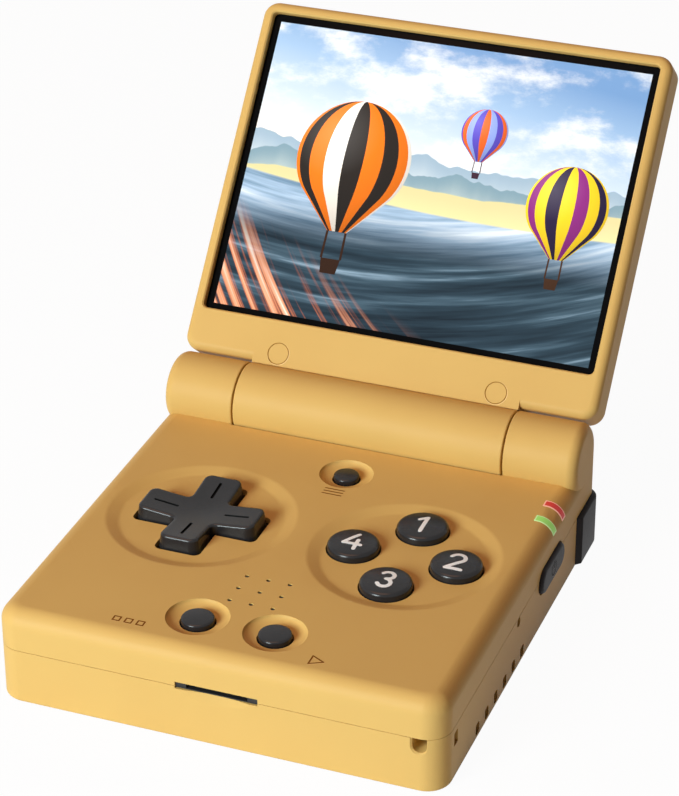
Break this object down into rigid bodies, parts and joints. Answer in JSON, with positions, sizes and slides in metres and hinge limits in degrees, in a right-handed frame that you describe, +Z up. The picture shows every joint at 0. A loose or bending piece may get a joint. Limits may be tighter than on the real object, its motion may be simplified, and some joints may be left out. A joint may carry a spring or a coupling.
{
  "type": "clamshell handheld game console",
  "caption": "Small square handheld game console with a hinged screen lid, a direction pad, round face buttons, shoulder buttons and side ports.",
  "frame": {"origin": "centre of the flat underside of the lower half, which the object stands on", "axes": "+X to the player's right, +Y away from the player towards the hinge, +Z up"},
  "size_m": [0.0838, 0.1343, 0.0808],
  "materials": {
    "shell": "fine matte, dyed through",
    "keys": "satin",
    "screen": "gloss, black printed border",
    "panel": "lit display panel",
    "board": "solder mask",
    "steel": "stamped",
    "dark_parts": "moulded",
    "silicone": "translucent grey",
    "feet": "matte",
    "red_lens": "clear, tinted",
    "green_lens": "clear, tinted",
    "cell": "foil",
    "ribbon": "film"
  },
  "bodies": {
    "base": {"base_top_shell": "shell", "base_bottom_shell": "shell", "main_board": "board", "port_board": "board", "processor_shield": "steel", "usb_port": "steel", "key_switches": "steel", "side_switches": "steel", "shoulder_switches": "steel", "shoulder_pins": "steel", "trigger_pins": "steel", "base_screws": "steel", "hinge_cartridge": "steel", "hinge_sleeve": "steel", "speaker": "dark_parts", "headphone_jack": "dark_parts", "card_reader": "dark_parts", "pad_membrane": "silicone", "face_membrane": "silicone", "rubber_feet": "feet", "red_light_pipe": "red_lens", "green_light_pipe": "green_lens", "battery": "cell", "base_ribbon": "ribbon"},
    "lid": {"lid_front_frame": "shell", "lid_back_shell": "shell", "screen_glass": "screen", "display_panel": "panel", "display_bracket": "steel", "lid_ribbon": "ribbon", "screw_covers": "shell", "lid_screws": "steel", "hinge_shaft": "steel"},
    "pad_rocker": {"pad_pivot": "steel"},
    "direction_pad": {"direction_pad": "keys"},
    "button_north": {"button_north": "keys"},
    "button_east": {"button_east": "keys"},
    "button_south": {"button_south": "keys"},
    "button_west": {"button_west": "keys"},
    "menu_button": {"menu_button": "keys"},
    "select_button": {"select_button": "keys"},
    "start_button": {"start_button": "keys"},
    "power_button": {"power_button": "keys"},
    "reset_button": {"reset_button": "keys"},
    "volume_rocker": {"volume_rocker": "keys"},
    "left_shoulder": {"left_shoulder": "keys"},
    "right_shoulder": {"right_shoulder": "keys"},
    "left_trigger": {"left_trigger": "keys"},
    "right_trigger": {"right_trigger": "keys"}
  },
  "joints": [
    {"name": "lid_hinge", "type": "hinge", "parent": "base", "child": "lid", "pos_m": [0, 0.03633, 0.0206], "axis": [1, 0, 0], "range_deg": [0, 129.9]},
    {"name": "pad_rock_forward", "type": "hinge", "parent": "base", "child": "pad_rocker", "pos_m": [-0.0194, -0.00225, 0.0142], "axis": [1, 0, 0], "range_deg": [-3.5, 3.5], "stiffness_Nm_per_rad": 0.06},
    {"name": "pad_rock_sideways", "type": "hinge", "parent": "pad_rocker", "child": "direction_pad", "pos_m": [-0.0194, -0.00225, 0.0142], "axis": [0, 1, 0], "range_deg": [-3.5, 3.5], "stiffness_Nm_per_rad": 0.06},
    {"name": "button_north_press", "type": "slide", "parent": "base", "child": "button_north", "axis": [0, 0, -1], "range_m": [0, 0.001], "stiffness_N_per_m": 300, "springref_m": -0.0005},
    {"name": "button_east_press", "type": "slide", "parent": "base", "child": "button_east", "axis": [0, 0, -1], "range_m": [0, 0.001], "stiffness_N_per_m": 300, "springref_m": -0.0005},
    {"name": "button_south_press", "type": "slide", "parent": "base", "child": "button_south", "axis": [0, 0, -1], "range_m": [0, 0.001], "stiffness_N_per_m": 300, "springref_m": -0.0005},
    {"name": "button_west_press", "type": "slide", "parent": "base", "child": "button_west", "axis": [0, 0, -1], "range_m": [0, 0.001], "stiffness_N_per_m": 300, "springref_m": -0.0005},
    {"name": "menu_button_press", "type": "slide", "parent": "base", "child": "menu_button", "axis": [0, 0, -1], "range_m": [0, 0.001], "stiffness_N_per_m": 300, "springref_m": -0.0005},
    {"name": "select_button_press", "type": "slide", "parent": "base", "child": "select_button", "axis": [0, 0, -1], "range_m": [0, 0.001], "stiffness_N_per_m": 300, "springref_m": -0.0005},
    {"name": "start_button_press", "type": "slide", "parent": "base", "child": "start_button", "axis": [0, 0, -1], "range_m": [0, 0.001], "stiffness_N_per_m": 300, "springref_m": -0.0005},
    {"name": "power_button_press", "type": "slide", "parent": "base", "child": "power_button", "axis": [-1, 0, 0], "range_m": [0, 0.0005], "stiffness_N_per_m": 400, "springref_m": -0.0004},
    {"name": "reset_button_press", "type": "slide", "parent": "base", "child": "reset_button", "axis": [-1, 0, 0], "range_m": [0, 0.0005], "stiffness_N_per_m": 400, "springref_m": -0.0004},
    {"name": "volume_rocker_tilt", "type": "hinge", "parent": "base", "child": "volume_rocker", "pos_m": [-0.0384, 0.006, 0.0097], "axis": [0, 0, 1], "range_deg": [-2.2, 2.2], "stiffness_Nm_per_rad": 0.08},
    {"name": "right_shoulder_press", "type": "hinge", "parent": "base", "child": "right_shoulder", "pos_m": [0.0372, 0.0338, 0.0058], "axis": [0, 0, 1], "range_deg": [0, 3.2], "stiffness_Nm_per_rad": 0.12, "springref_deg": -2.86},
    {"name": "left_shoulder_press", "type": "hinge", "parent": "base", "child": "left_shoulder", "pos_m": [-0.0372, 0.0338, 0.0058], "axis": [0, 0, 1], "range_deg": [-3.2, 0], "stiffness_Nm_per_rad": 0.12, "springref_deg": 2.86},
    {"name": "right_trigger_press", "type": "hinge", "parent": "base", "child": "right_trigger", "pos_m": [0.0197, 0.04208, 0.0096], "axis": [1, 0, 0], "range_deg": [-4, 0], "stiffness_Nm_per_rad": 0.06, "springref_deg": 2.86},
    {"name": "left_trigger_press", "type": "hinge", "parent": "base", "child": "left_trigger", "pos_m": [-0.0197, 0.04208, 0.0096], "axis": [1, 0, 0], "range_deg": [-4, 0], "stiffness_Nm_per_rad": 0.06, "springref_deg": 2.86}
  ]
}
